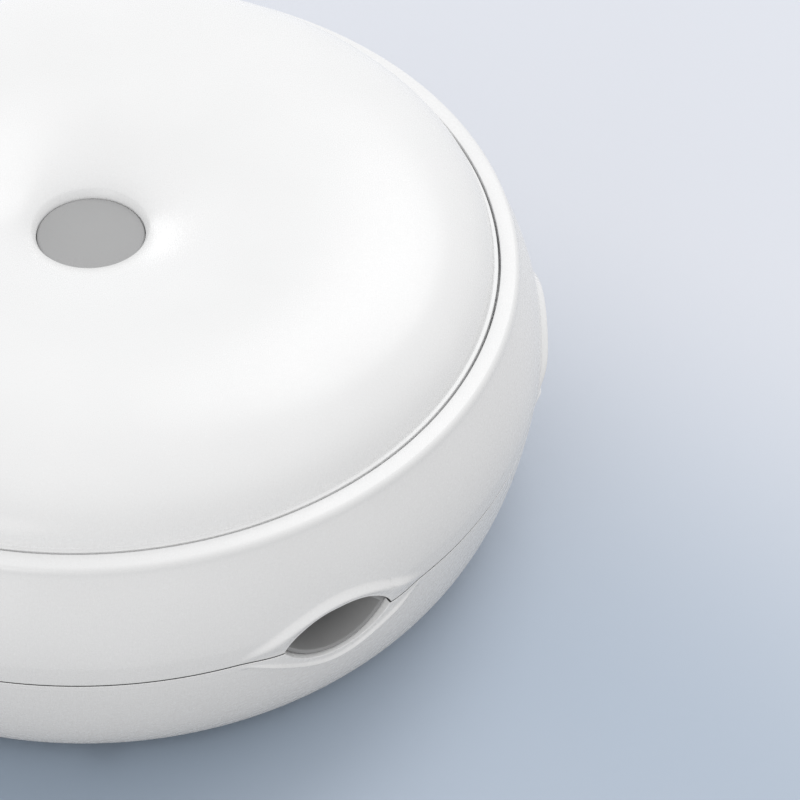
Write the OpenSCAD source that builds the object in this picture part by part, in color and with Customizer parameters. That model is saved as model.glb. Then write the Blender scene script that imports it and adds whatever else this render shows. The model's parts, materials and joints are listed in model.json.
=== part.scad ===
// Automatic cat feather toy: a round casing with feather ports round its seam.
// A drum with one window turns inside it. A rack on the drum pushes a feather wand out through the port
// that the window faces.

/* [Casing] */
// How far the casing's widest part stands out past the top cover
belly_out = 11.9; // [10.4:0.1:14]
// Height of the widest point above the floor
belly_z = 44; // [42:0.5:47]
// Height of the rim round the top cover
rim_z = 70; // [69:0.5:73]
// Width of the rim from the cover's gap to the shoulder
rim_w = 4.8; // [4.2:0.2:5.6]
// Height of the seam between upper and lower casing
seam_z = 37.8; // [37.4:0.1:38.4]
// Width of the seam
seam_gap = 0.4; // [0.2:0.1:0.6]
// How far the flat underside's edge lies inside the top cover's
base_in = 6.1; // [5:0.1:8]
// Height of the underside above the floor
foot_gap = 1; // [0.8:0.1:1.2]
// Wall of the casing
wall = 2.6; // [2.2:0.1:3]
// Floor of the lower casing
floor_t = 2.6; // [2.2:0.1:3]

/* [Top cover] */
// Radius of the top cover
cover_r = 98.1; // [97:0.1:99]
// Gap between the top cover and the rim
cover_gap = 0.6; // [0.4:0.1:0.8]
// Height of the cover's crest above the rim
crest_h = 16.4; // [15:0.2:18]
// Radius of the crest
crest_r = 58; // [52:1:64]
// Wall of the top cover
cover_wall = 2.4; // [2:0.1:2.8]
// Depth of the seat of the top cover below the rim
cover_seat = 4; // [3.6:0.1:4.6]

/* [Button] */
// Radius of the mode button
button_r = 13; // [12:0.1:13.6]
// Clearance round the button
button_gap = 0.4; // [0.2:0.05:0.5]
// Height of the button's face above the rim
button_h = 5.4; // [5:0.1:5.8]
// Travel of the button
button_travel = 1.2; // [0.8:0.1:1.4]

/* [Ports] */
// Number of ports
port_count = 6; // [6]
// Width of a port between its corners
port_w = 29; // [27:0.5:31]
// Height of a port
port_h = 15; // [14:0.5:15.5]
// How far the lip of a port stands out of the casing
lip_proud = 1.6; // [1:0.1:2]
// Half width of a lip with its tails
lip_half_w = 25; // [23:0.5:26]
// Height of the upper lip above the seam
lip_up = 12; // [11:0.5:13]
// Depth of the lower lip below the seam
lip_down = 10.4; // [10:0.1:11.4]
// Wall of the tunnel behind a port
tunnel_wall = 1.8; // [1.4:0.1:2.2]
// Wall of the sleeve that lines a tunnel
liner_wall = 1.4; // [1.2:0.1:1.6]
// Clearance of a liner in its tunnel
liner_gap = 0.15; // [0.1:0.05:0.3]
// How far a liner's front lies behind the lip's face
liner_depth = 3.2; // [2.6:0.1:3.6]

/* [Drum] */
// How far the drum's outside lies inside the top cover's edge
drum_in = 6.1; // [5.5:0.1:8]
// Wall of the drum
drum_wall = 2; // [1.6:0.1:2.4]
// Thickness of the drum's deck
deck_t = 2; // [1.8:0.1:2.2]
// Clearance between the drum and what it turns in
drum_gap = 1; // [0.8:0.1:1.4]
// Margin of the drum's window round a port
window_margin = 0.8; // [0.4:0.1:1.2]
// Radius of the axle
axle_r = 4; // [3.5:0.1:4.4]
// Wall of the bush on the axle
bush_wall = 2; // [1.6:0.1:2.4]
// Module of the ring gear and its pinion
ring_module = 1.5; // [1.5]
// Teeth of the pinion that turns the drum
turn_teeth = 14; // [14]
// Height of the ring gear
ring_h = 4; // [3.4:0.2:4.2]

/* [Wand] */
// Gap between the rack's tail and the drum, which sets the wand's travel
tail_gap = 3; // [2:0.5:8]
// Gap between the feathers' tips and the drum when the wand is in
tip_gap = 2.2; // [1.6:0.1:8]
// Width of the rack
rack_w = 8; // [7:0.2:9]
// Height of the rack below its pitch line
rack_h = 7; // [6.4:0.1:7.2]
// Module of the rack and its pinion
rack_module = 0.8; // [0.8]
// Teeth of the rack's pinion
rack_teeth = 14; // [14]
// Radius of the feather rod
rod_r = 1.2; // [1:0.1:1.5]
// Width of a feather
feather_w = 9.5; // [8:0.5:10]

/* [Batteries] */
// Number of cells
cell_count = 4; // [4]
// Diameter of a cell
cell_d = 14.5; // [13.5:0.1:14.5]
// Length of a cell with its tip
cell_l = 50.5; // [48:0.5:51]
// Wall of the battery bay
bay_wall = 2; // [1.6:0.1:2.2]
// Thickness of the battery door
door_t = 2; // [1.6:0.1:2.2]
// Clearance round the battery door
door_gap = 0.4; // [0.3:0.1:0.6]

/* [Feet and screws] */
// Radius of a foot
foot_r = 7; // [6:0.5:8]
// Distance of a foot's middle from the edge of the underside
foot_in = 14; // [12:0.5:18]
// Depth that a foot is let into the underside
foot_let_in = 1.2; // [1:0.1:1.4]
// Radius of a screw's thread
screw_r = 1.4; // [1.2:0.1:1.5]
// Radius of a screw's head
screw_head_r = 2.6; // [2.4:0.1:2.8]
// Radius of a screw column
column_r = 3.5; // [3.4:0.1:3.8]

/* [Hidden] */
$fn = 96;

CASING = [0.95, 0.95, 0.95];
GREY = [0.70, 0.70, 0.70];
DRUM = [0.36, 0.36, 0.37];
LINER = [0.55, 0.55, 0.55];
GEAR = [0.88, 0.87, 0.82];
STEEL = [0.66, 0.67, 0.69];
BRASS = [0.78, 0.63, 0.32];
BOARD = [0.10, 0.36, 0.22];
BLACK = [0.13, 0.13, 0.14];
CELL = [0.22, 0.24, 0.28];
FEATHER = [0.85, 0.47, 0.16];

// Slack for cuts that run past a face
past = 1;
// Clearance of a running fit, such as the axle in its bush
run_gap = 0.03;
// Clearance of a piece that slides or turns past another
slide_gap = 0.25;
// Room left between a screw and its pilot hole
screw_gap = 0.02;
// Room round a screw's shank that passes through a piece, and round a head in its well
pass_gap = 0.2;
head_gap = 0.4;
// Clearance between a turning piece and the one that it runs over
turn_gap = 0.3;
// Pressure angle of the gear teeth
tooth_angle = 20;
// Addendum and dedendum as shares of the module
tooth_add = 0.75;
tooth_ded = 1;
// Play between meshing teeth, as a share of the module
tooth_play = 0.12;

// Places worked out from the sizes above
pitch = 360 / port_count;
screw_turn = pitch / 2;
belly_r = cover_r + belly_out;
base_r = cover_r - base_in;
rim_in_r = cover_r + cover_gap;
shoulder_r = rim_in_r + rim_w;
seat_z = rim_z - cover_seat;
ledge_t = 2;
ledge_z = seat_z - ledge_t;
drum_r = cover_r - drum_in;
tunnel_r = drum_r + drum_gap;
ledge_w = 12;
ledge_margin = 0.4;
ledge_in_r = cover_r - ledge_w;
column_gap = 0.9;
column_place = tunnel_r + column_r + column_gap;
inner_floor = foot_gap + floor_t;

// Battery bay, from the door upwards
cell_gap = 0.3;
cell_pitch = cell_d + 0.4;
cell_z = foot_gap + door_t + cell_gap + cell_d / 2;
contact_room = 3.6;
bay_l = cell_l + 2 * contact_room;
bay_w = cell_count * cell_pitch + 0.6;
bay_in_z = cell_z + cell_d / 2 + 1.2;
bay_top_z = bay_in_z + bay_wall;
axle_foot_z = bay_in_z + 0.8;
door_lap = 2.5;
door_tab_r = 5;
door_sink = 0.8;
door_boss_z = foot_gap + door_t + 6;

// Drum, from the bay's roof upwards
boss_h = 2.2;
boss_top_z = bay_top_z + boss_h;
hub_z = boss_top_z + turn_gap;
deck_z = hub_z + 0.6;
deck_top_z = deck_z + deck_t;
bush_r = axle_r + bush_wall;
hub_r = bush_r + 4;
hub_top_z = deck_top_z + 2.6;
clip_t = 0.7;
clip_w = 2.4;
clip_groove = 0.8;
clip_z = hub_top_z + 0.1;
axle_top_z = clip_z + clip_t + 0.5;
track_r = drum_r - 10;
track_t = 2.4;
drum_top_z = seam_z + port_h / 2 + 2.3;
ring_top_z = drum_top_z + ring_h;
ring_rim = 6;
ring_teeth = 4 * floor((drum_r - ring_rim - ring_module * tooth_ded) / ring_module / 2);
ring_pitch_r = ring_teeth * ring_module / 2;
turn_pitch_r = turn_teeth * ring_module / 2;
turn_place = ring_pitch_r - turn_pitch_r;

// Wand, round its own axis at the height of the seam
rack_pitch_z = seam_z + 2.6;
rack_low_z = rack_pitch_z - rack_h;
rack_pitch_r = rack_teeth * rack_module / 2;
rack_pinion_x = -11;
rack_pinion_z = rack_pitch_z + rack_pitch_r;
rack_nose_x = 14;
rack_tail_x = drum_wall + tail_gap - drum_r;
rack_tooth_x = rack_pinion_x + 3;
nose_h = 6.4;
nose_l = 6;
nose_drop = 0.2;
rack_end_x = rack_nose_x - nose_l;
rod_x = rack_nose_x - 8.8;
ferrule_r = 2.2;
ferrule_x = rack_nose_x + 1.5;
ferrule_l = 6;
ferrule_end = 1.6;
rod_end_x = ferrule_x + ferrule_l - ferrule_end - 1.2;
feather_x = ferrule_x + ferrule_l + 0.3;
feather_l = drum_r - drum_wall - tip_gap - feather_x;
feather_t = 0.9;
feather_step = 1.3;
feather_fan = 5;

// Motor of the wand, a small block across the rack
wand_motor_w = 12;
wand_motor_h = 10;
wand_motor_l = 24;
wand_motor_y = rack_w / 2 + 4.6;
wand_motor_top = rack_pinion_z + wand_motor_h / 2;
strap_t = 1.2;
strap_w = 8;
strap_foot = 7;
strap_gap = 0.1;
strap_y = wand_motor_y + 14;

// Gear plate and the motor that turns the drum
plate_gap = 1.6;
plate_z = max(ring_top_z + plate_gap, wand_motor_top + strap_t + plate_gap);
plate_t = 2;
plate_top_z = plate_z + plate_t;
plate_r = drum_r + 0.4;
plate_hole_r = 34;
turn_motor_r = 14;
turn_motor_h = 18;
turn_offset = 8;
turn_shaft_r = 2.5;
turn_shaft_in = 9.5;
turn_ear = 17.5;
wand_shaft_r = 1.5;
wand_shaft_in = 6.5;
shaft_gap = 0.05;

// Button, from its face downwards
button_top_z = rim_z + button_h;
bore_r = button_r + button_gap;
flange_r = bore_r + 1.3;
flange_t = 2;
flange_z = button_top_z - 5.2;
guide_r = flange_r + button_gap;
guide_wall = 2;
stem_r = 3.4;
stem_l = 3.4;
stem_z = flange_z - stem_l;
switch_w = 12;
switch_h = 3.8;
plunger_r = 3.3;
plunger_up = 1.8;
switch_top_z = stem_z - plunger_up;
board_top_z = switch_top_z - switch_h;
board_t = 1.6;
board_r = 27;
board_screw_r = 22;
spring_r = 11.2;
spring_wire = 0.8;
spring_turns = 4;
guide_low_z = flange_z - button_travel - 0.8;
stop_z = flange_z + flange_t + 0.2;

// Screws: shank lengths that follow what they pass through
head_t = 1.8;
tiny_r = 0.8;
tiny_head_r = 1.4;
tiny_head_t = 0.9;
tiny_bite = 4.5;
tiny_hole = tiny_bite + 0.5;
thread_l = 8;
bite_l = 5;

// Points of a curve through four control points
function curve4(a, b, c, d, n) = [
    for (i = [0:n]) let (t = i / n, u = 1 - t)
        u * u * u * a + 3 * u * u * t * b + 3 * u * t * t * c + t * t * t * d
];
// Points of a curve through three control points
function curve3(a, b, c, n) =
    [for (i = [0:n]) let (t = i / n, u = 1 - t) u * u * a + 2 * u * t * b + t * t * c];
function polar(r, a) = [r * cos(a), r * sin(a)];
function backwards(list) = [for (i = [len(list) - 1:-1:0]) list[i]];

// Outside of the casing as radius and height, from the rim down to the flat underside
rim_edge = [rim_in_r, rim_z + 0.3];
band_edge = [rim_in_r + 0.62 * rim_w, rim_z - 0.2];
shoulder = [shoulder_r, rim_z - 2];
belly = [belly_r, belly_z];
underside = [base_r, foot_gap];
casing_path = concat(
    [rim_edge],
    curve3(band_edge, [shoulder_r - 0.5, rim_z - 0.5], shoulder, 5),
    curve4(shoulder, shoulder + [1.9, -5.4], belly + [-0.4, 10], belly, 9),
    curve4(belly, belly + [-0.4, -14], underside + [12.5, 0], underside, 10)
);

// Outside of the top cover, from its edge over the crest and down to the button's bore
cover_edge_z = rim_z + 0.1;
skirt_in_r = cover_r - cover_wall - 1.6;
crest = [crest_r, rim_z + crest_h];
dish_lip = [bore_r, button_top_z + 1];
cover_path = concat(
    curve3([cover_r, cover_edge_z - 0.8], [cover_r, cover_edge_z], [cover_r - 0.8, cover_edge_z], 4),
    curve4([cover_r - 1.8, cover_edge_z + 0.2], [cover_r - 3.8, rim_z + 9], crest + [22, 0], crest, 12),
    curve4(crest, crest + [-20, 0], [bore_r + 7.1, button_top_z + 6.8], dish_lip + [0.8, 1.2], 10),
    [dish_lip]
);
// Inside of the top cover, from the button's guide tube back over the crest to the skirt
cover_in_path = concat(
    curve4([guide_r + guide_wall, button_top_z - 1.4], [bore_r + 9, button_top_z + 4.4],
           crest + [-20, -cover_wall], crest + [0, -cover_wall], 8),
    curve4(crest + [0, -cover_wall], crest + [21, -cover_wall], [cover_r - cover_wall - 3.8, rim_z + 7.6],
           [skirt_in_r, rim_z], 10)
);

// Whole casing as one solid, its outside moved in by the given distance
module casing_solid(inset = 0) {
    rotate_extrude()
        polygon(concat([[0, foot_gap]], [[0, rim_z + 0.3]], [for (p = casing_path) [p.x - inset, p.y]]));
}

// Slab across the whole toy between two heights
module slab(z0, z1, r = 2 * belly_r) {
    translate([0, 0, z0]) cylinder(r = r, h = z1 - z0);
}

module above_seam() { slab(seam_z + seam_gap / 2, 2 * rim_z); }
module below_seam() { slab(-past, seam_z - seam_gap / 2); }

// Sets its children at every port, facing outwards along X at the height of the seam
module at_ports() {
    for (i = [0:port_count - 1]) rotate([0, 0, i * pitch]) translate([0, 0, seam_z]) children();
}

// Lies a flat shape across the X axis and pulls it outwards from x0 to x1
module outwards(x0, x1, taper = 1) {
    translate([x0, 0, 0]) rotate([90, 0, 90]) linear_extrude(x1 - x0, scale = taper) children();
}

// Pointed eye between two arcs, grown by a margin
module eye(w, h, margin = 0) {
    r = (w * w / 4 + h * h / 4) / h;
    intersection() {
        translate([0, h / 2 - r]) circle(r + margin);
        translate([0, r - h / 2]) circle(r + margin);
    }
}

// Outline of a lip: a bell curve above and below the seam that runs out into tails
module lip_outline(grow) {
    w = lip_half_w * grow;
    n = 12;
    bell = [for (i = [-n:n]) [w * i / n, grow * (1 + cos(180 * i / n)) / 2]];
    polygon(concat([for (p = bell) [p.x, p.y * lip_up]], backwards([for (p = bell) [p.x, -p.y * lip_down]])));
}

lip_start = belly_r - 9;
lip_end = belly_r + lip_proud + past;
lip_taper = 0.72;
lip_grow = 1 / (1 - (1 - lip_taper) * (belly_r - lip_start) / (lip_end - lip_start));

// Raised lips of all the ports
module lips() {
    intersection() {
        casing_solid(-lip_proud);
        union() at_ports() outwards(lip_start, lip_end, lip_taper) lip_outline(lip_grow);
    }
}

// Eye-shaped holes through the casing at every port
module port_holes() {
    at_ports() outwards(drum_r - 4, belly_r + 8) eye(port_w, port_h);
}

// Tubes that lead from the ports in to the drum
module tunnels() {
    difference() {
        intersection() {
            union() at_ports() outwards(drum_r, belly_r - wall / 2) eye(port_w, port_h, tunnel_wall);
            casing_solid(wall / 2);
        }
        port_holes();
        slab(0, rim_z, tunnel_r);
    }
}

// Sleeve that lines a tunnel, held between the two halves of the casing
module port_liner(i) color(LINER) {
    rotate([0, 0, i * pitch]) difference() {
        intersection() {
            translate([0, 0, seam_z]) outwards(drum_r, belly_r) eye(port_w, port_h, -liner_gap);
            slab(0, rim_z, belly_r + lip_proud - liner_depth);
        }
        translate([0, 0, seam_z]) outwards(drum_r - past, belly_r + past)
            eye(port_w, port_h, -liner_gap - liner_wall);
        slab(0, rim_z, tunnel_r);
    }
}

// Hollow inside of the casing
module cavity() {
    intersection() {
        casing_solid(wall);
        slab(inner_floor, ledge_z);
    }
}

// Places of screws, at every second gap between two ports
module at_screws(turn = 0, place = column_place) {
    for (i = [0:2:port_count - 1])
        rotate([0, 0, screw_turn + turn + i * pitch]) translate([place, 0, 0]) children();
}

// Round column with a blind pilot hole for a screw that comes from below
module column(z0, z1, bite) {
    difference() {
        slab(z0, z1, column_r);
        slab(z0 - past, z0 + bite + past, screw_r + screw_gap);
    }
}

casing_thread_z = seam_z + seam_gap / 2;
module upper_casing() color(CASING) {
    difference() {
        intersection() {
            union() {
                casing_solid();
                lips();
            }
            above_seam();
        }
        cavity();
        slab(ledge_z - past, rim_z + past, ledge_in_r);
        slab(seat_z, rim_z + past, rim_in_r);
        port_holes();
        at_cover_screws() slab(ledge_z - past, seat_z + past, screw_r + pass_gap);
    }
    intersection() {
        tunnels();
        above_seam();
    }
    at_screws() column(casing_thread_z, ledge_z + ledge_t / 2, thread_l);
    at_screws(pitch) column(plate_top_z, ledge_z + ledge_t / 2, bite_l);
}

screw_head_z = foot_gap + 11;
module lower_casing() color(CASING) {
    difference() {
        union() {
            difference() {
                intersection() {
                    union() {
                        casing_solid();
                        lips();
                    }
                    below_seam();
                }
                cavity();
                port_holes();
            }
            intersection() {
                tunnels();
                below_seam();
            }
            intersection() {
                at_screws() slab(foot_gap, seam_z - seam_gap / 2, column_r + 0.6);
                casing_solid();
            }
            bay_block(bay_wall, bay_top_z);
            slab(bay_top_z - past, boss_top_z, hub_r);
            door_screw_place() slab(foot_gap + door_t, door_boss_z, column_r);
            difference() {
                slab(inner_floor - past, deck_z - turn_gap, track_r + track_t / 2);
                slab(inner_floor - past, deck_z, track_r - track_t / 2);
            }
        }
        bay_block(0, bay_in_z);
        door_shape(door_gap, foot_gap - past, foot_gap + door_t);
        slab(axle_foot_z, boss_top_z + past, axle_r + screw_gap);
        at_screws() slab(-past, screw_head_z, screw_head_r + head_gap);
        at_screws() slab(0, seam_z + past, screw_r + pass_gap);
        at_feet() slab(foot_gap - past, foot_gap + foot_let_in, foot_r);
        door_screw_place() slab(foot_gap, door_boss_z - past, screw_r + screw_gap);
    }
}

// Solid round the cells, grown by a margin
module bay_block(margin, z1) {
    translate([-bay_l / 2 - margin, -bay_w / 2 - margin, inner_floor - floor_t - past])
        cube([bay_l + 2 * margin, bay_w + 2 * margin, z1 - inner_floor + floor_t + past]);
}

// Outline of the battery door with a rounded tab for its screw
module door_shape(grow, z0, z1) {
    translate([0, 0, z0]) linear_extrude(z1 - z0) {
        square([bay_l + 2 * door_lap + 2 * grow, bay_w + 2 * door_lap + 2 * grow], center = true);
        translate([bay_l / 2 + door_lap, 0]) circle(door_tab_r + grow);
    }
}
module door_screw_place() { translate([bay_l / 2 + door_lap + 1.4, 0, 0]) children(); }

module battery_door() color(CASING) {
    rib_t = 1.2;
    rib_h = 1;
    rib_l = bay_l - 4;
    grip_count = 7;
    grip_l = 18;
    grip_w = 0.5;
    grip_depth = 0.4;
    difference() {
        union() {
            door_shape(0, foot_gap, foot_gap + door_t - door_gap / 2);
            for (i = [1:cell_count - 1])
                translate([-rib_l / 2, (i - cell_count / 2) * cell_pitch - rib_t / 2, foot_gap + door_t - past])
                    cube([rib_l, rib_t, past + rib_h]);
        }
        door_screw_place() slab(foot_gap - past, foot_gap + door_t + past, screw_r + pass_gap);
        door_screw_place() slab(foot_gap - past, foot_gap + door_sink, screw_head_r + pass_gap);
        for (i = [0:grip_count - 1])
            translate([-bay_l / 2 + i + 1, -grip_l / 2, foot_gap - past])
                cube([grip_w, grip_l, past + grip_depth]);
    }
}

// Pan-head screw with a cross slot, its thread pointing up from its head
module screw(l, r = screw_r, head_r = screw_head_r) {
    difference() {
        union() {
            cylinder(r = r, h = head_t + l);
            cylinder(r = head_r, h = head_t);
        }
        for (a = [0, 90]) rotate([0, 0, a]) driver_slot(head_r, 1);
    }
}
module driver_slot(head_r, depth) {
    w = 0.7;
    l = 1.2 * head_r;
    translate([-l / 2, -w / 2, -past]) cube([l, w, past + depth]);
}
module hung_screw(l) { mirror([0, 0, 1]) screw(l); }

module door_screw() color(STEEL) {
    head = door_sink - 0.1;
    door_screw_place() translate([0, 0, foot_gap + door_sink - head]) difference() {
        union() {
            cylinder(r = screw_head_r, h = head);
            cylinder(r = screw_r, h = bite_l);
        }
        driver_slot(screw_head_r, 0.4);
    }
}

module casing_screws() color(STEEL)
    at_screws() translate([0, 0, screw_head_z - head_t]) screw(seam_z - screw_head_z + thread_l);
module plate_screws() color(STEEL)
    at_screws(pitch) translate([0, 0, plate_z - head_t]) screw(plate_t + bite_l);

module at_cover_screws() {
    place = ledge_in_r + column_r + ledge_margin;
    for (i = [0:2:port_count - 1]) rotate([0, 0, i * pitch]) translate([place, 0, 0]) children();
}
module cover_screws() color(STEEL)
    at_cover_screws() translate([0, 0, ledge_z - head_t]) screw(ledge_t + bite_l);

module top_cover() color(CASING) {
    rotate_extrude() polygon(concat(
        cover_path,
        [[bore_r, stop_z], [guide_r, stop_z], [guide_r, guide_low_z], [guide_r + guide_wall, guide_low_z]],
        cover_in_path,
        [[skirt_in_r, seat_z], [cover_r, seat_z]]
    ));
    intersection() {
        at_cover_screws() column(seat_z, crest.y, bite_l);
        cover_fill();
    }
    intersection() {
        at_board_screws() column(board_top_z, crest.y, bite_l);
        cover_fill();
    }
}

// Room under the cover's outside, for trimming what hangs from it
module cover_fill() {
    rotate_extrude() polygon(concat([[0, board_top_z - past]], [[0, dish_lip.y - 2.5]], backwards(
        [for (p = cover_path) [p.x - 0.4, p.y - cover_wall / 2]]), [[cover_r - 0.4, board_top_z - past]]));
}

module at_board_screws() {
    for (a = [60, 180, 300]) rotate([0, 0, a]) translate([board_screw_r, 0, 0]) children();
}
module board_screws() color(STEEL)
    at_board_screws() translate([0, 0, board_top_z - board_t - head_t]) screw(board_t + bite_l);

// Face with a rounded edge over a flange that keeps the button in the cover
module mode_button() color(GREY) {
    edge = 0.6;
    skirt_t = 2;
    flange_top = flange_z + flange_t;
    rotate_extrude() polygon(concat(
        [[0, stem_z], [stem_r, stem_z], [stem_r, flange_top], [button_r - skirt_t, flange_top],
         [button_r - skirt_t, flange_z], [flange_r, flange_z], [flange_r, flange_top], [button_r, flange_top]],
        curve3([button_r, button_top_z - edge], [button_r, button_top_z], [button_r - edge, button_top_z], 5),
        [[0, button_top_z]]
    ));
}

module switch_plunger() color(BLACK) slab(stem_z - plunger_up - 2, stem_z, plunger_r);

module mode_switch() color(BLACK) {
    difference() {
        translate([-switch_w / 2, -switch_w / 2, board_top_z]) cube([switch_w, switch_w, switch_h]);
        slab(switch_top_z - 3.4, switch_top_z + past, plunger_r + slide_gap);
    }
}

// Ring of points round a place on the spring, square to its wire
function spring_ring(a, r, rise, wire) = [
    for (k = [0:5]) let (q = r + wire * cos(60 * k), z = rise * a / 360 + wire * sin(60 * k))
        [q * cos(a), q * sin(a), z]
];

// Tube through rings of six points, closed at both ends
module tube_through(rings) {
    n = len(rings);
    polyhedron(
        points = [for (ring = rings) each ring],
        faces = concat(
            [[for (k = [0:5]) k]],
            [for (i = [0:n - 2], k = [0:5])
                each let (a = 6 * i + k, b = 6 * i + (k + 1) % 6) [[a, a + 6, b], [b, a + 6, b + 6]]],
            [[for (k = [5:-1:0]) 6 * (n - 1) + k]]
        )
    );
}

module button_spring() color(STEEL) {
    wire = spring_wire / 2;
    rise = (flange_z - board_top_z - spring_wire - 0.2) / spring_turns;
    translate([0, 0, board_top_z + wire + 0.1])
        tube_through([for (i = [0:8 * spring_turns]) spring_ring(45 * i, spring_r, rise, wire)]);
}

module control_board() color(BOARD) {
    difference() {
        slab(board_top_z - board_t, board_top_z, board_r);
        at_board_screws() slab(0, rim_z, screw_r + pass_gap);
    }
}

module gear_plate() color(GEAR) {
    ear_r = column_r + 0.8;
    window_r = 12;
    lip_h = 3;
    lip_t = 2;
    difference() {
        union() {
            slab(plate_z, plate_top_z, plate_r);
            at_screws(pitch) slab(plate_z, plate_top_z, ear_r);
            at_screws(pitch, 0) translate([plate_r - ear_r, -ear_r, plate_z])
                cube([column_place - plate_r + ear_r, 2 * ear_r, plate_t]);
            difference() {
                slab(plate_top_z - past, plate_top_z + lip_h, plate_hole_r + lip_t);
                slab(plate_top_z - 2 * past, plate_top_z + lip_h + past, plate_hole_r);
            }
        }
        slab(plate_z - past, plate_top_z + past, plate_hole_r);
        at_screws(pitch) slab(plate_z - past, plate_top_z + past, screw_r + pass_gap);
        for (a = [0:45:180]) rotate([0, 0, a]) translate([(plate_hole_r + plate_r) / 2, 0, 0])
            slab(plate_z - past, plate_top_z + past, window_r);
        turn_axis() slab(plate_z - past, plate_top_z + past, turn_shaft_r + 3);
        motor_ears() slab(plate_z - past, plate_top_z + past, screw_r + screw_gap);
    }
}

// Axis of the pinion that turns the drum, and the two screws of its motor
module turn_axis() { translate([0, -turn_place, 0]) children(); }
module motor_ears() {
    for (s = [-1, 1]) translate([s * turn_ear, turn_offset - turn_place, 0]) children();
}

module turn_motor() color(STEEL) {
    ear_t = 1;
    difference() {
        union() {
            translate([0, turn_offset, 0]) turn_axis()
                slab(plate_top_z, plate_top_z + turn_motor_h, turn_motor_r);
            turn_axis() slab(plate_z + 0.2, plate_top_z + past, turn_shaft_r + 2);
            translate([0, turn_offset - turn_place, plate_top_z]) linear_extrude(ear_t) hull() {
                for (s = [-1, 1]) translate([s * turn_ear, 0]) circle(3.5, $fn = 32);
            }
            translate([-7.5, turn_offset - turn_place + turn_motor_r - 3, plate_top_z + 1])
                cube([15, 6, turn_motor_h - 2]);
        }
        turn_axis() slab(plate_z, plate_top_z + turn_shaft_in + 0.5, turn_shaft_r + shaft_gap);
        motor_ears() slab(plate_z, plate_top_z + ear_t + past, screw_r + pass_gap);
    }
}
module motor_screws() color(STEEL)
    motor_ears() translate([0, 0, plate_top_z + 1 + head_t]) hung_screw(1 + plate_t - 0.4);

module turn_shaft() color(STEEL)
    turn_axis() slab(drum_top_z + turn_gap, plate_top_z + turn_shaft_in, turn_shaft_r);

// Half angle of an involute tooth at radius r
function involute(r, rb) = r <= rb ? 0 : let (a = acos(rb / r)) tan(a) * 180 / PI - a;
function tooth_half(r, n, m, play) =
    let (rp = n * m / 2, rb = rp * cos(tooth_angle))
    90 / n - play / 2 / rp * 180 / PI + involute(rp, rb) - involute(max(r, rb), rb);
// Outline of a spur gear with a tooth along +X
function gear_points(n, m, add, ded, play, steps = 3) =
    let (rp = n * m / 2, radii = [for (i = [0:steps]) rp - ded + (add + ded) * i / steps])
    [for (i = [0:n - 1]) each concat(
        [for (r = radii) polar(r, 360 * i / n - tooth_half(r, n, m, play))],
        [for (r = backwards(radii)) polar(r, 360 * i / n + tooth_half(r, n, m, play))])];

module gear(n, m, h) {
    linear_extrude(h) polygon(gear_points(n, m, m * tooth_add, m * tooth_ded, m * tooth_play));
}

module turn_pinion() color(GEAR) {
    turn_axis() translate([0, 0, drum_top_z + turn_gap]) difference() {
        union() {
            rotate([0, 0, -90]) gear(turn_teeth, ring_module, ring_h - 0.5);
            cylinder(r = turn_shaft_r + 2, h = ring_h + 0.6);
        }
        translate([0, 0, -past]) cylinder(r = turn_shaft_r + screw_gap, h = ring_h + 4);
    }
}

module ring_gear() color(GEAR) {
    translate([0, 0, drum_top_z]) linear_extrude(ring_h) difference() {
        circle(drum_r);
        polygon(gear_points(ring_teeth, ring_module, ring_module * tooth_ded, ring_module * tooth_add,
                            -ring_module * tooth_play));
    }
}

guide_x = [-34, -13];
guide_front_x = [12, 23];
rail_t = 3;
bridge_t = 1.8;
guide_screw_x = 4;
rail_y = rack_w / 2 + slide_gap;
rail_top_z = rack_pitch_z - 2.4;
pad_z = rack_low_z - slide_gap;
module drum() color(DRUM) {
    rib_t = 1.6;
    rib_h = 2;
    difference() {
        union() {
            difference() {
                slab(deck_z, drum_top_z, drum_r);
                slab(deck_top_z, drum_top_z + past, drum_r - drum_wall);
            }
            slab(hub_z, hub_top_z, hub_r);
            for (x = [guide_x, guide_front_x]) rack_bed(x);
            motor_cradle();
            for (i = [0:port_count - 1]) rotate([0, 0, i * pitch + screw_turn])
                translate([hub_r - past, -rib_t / 2, deck_top_z - past])
                    cube([drum_r - drum_wall - hub_r + 2 * past, rib_t, past + rib_h]);
        }
        slab(hub_z - past, hub_top_z + past, bush_r + screw_gap);
        translate([0, 0, seam_z]) outwards(drum_r - drum_wall - 3, drum_r + past)
            eye(port_w, port_h, window_margin);
        guide_screw_places() slab(rail_top_z - tiny_hole, rail_top_z + past, tiny_r + screw_gap);
        strap_screw_places() slab(strap_z - tiny_hole, strap_z + past, tiny_r + screw_gap);
    }
}

// Bed under the rack with a rail on either side
module rack_bed(x) {
    l = x[1] - x[0];
    w = 2 * (rail_y + rail_t);
    translate([x[0], -w / 2, deck_top_z - past]) cube([l, w, pad_z - deck_top_z + past]);
    for (s = [-1, 1]) translate([x[0], s * (rail_y + rail_t / 2) - rail_t / 2, pad_z - past])
        cube([l, rail_t, rail_top_z - pad_z + past]);
}
module guide_screw_places() {
    for (x = [guide_x, guide_front_x], s = [-1, 1])
        translate([x[0] + guide_screw_x, s * (rail_y + rail_t / 2), 0]) children();
}

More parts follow.
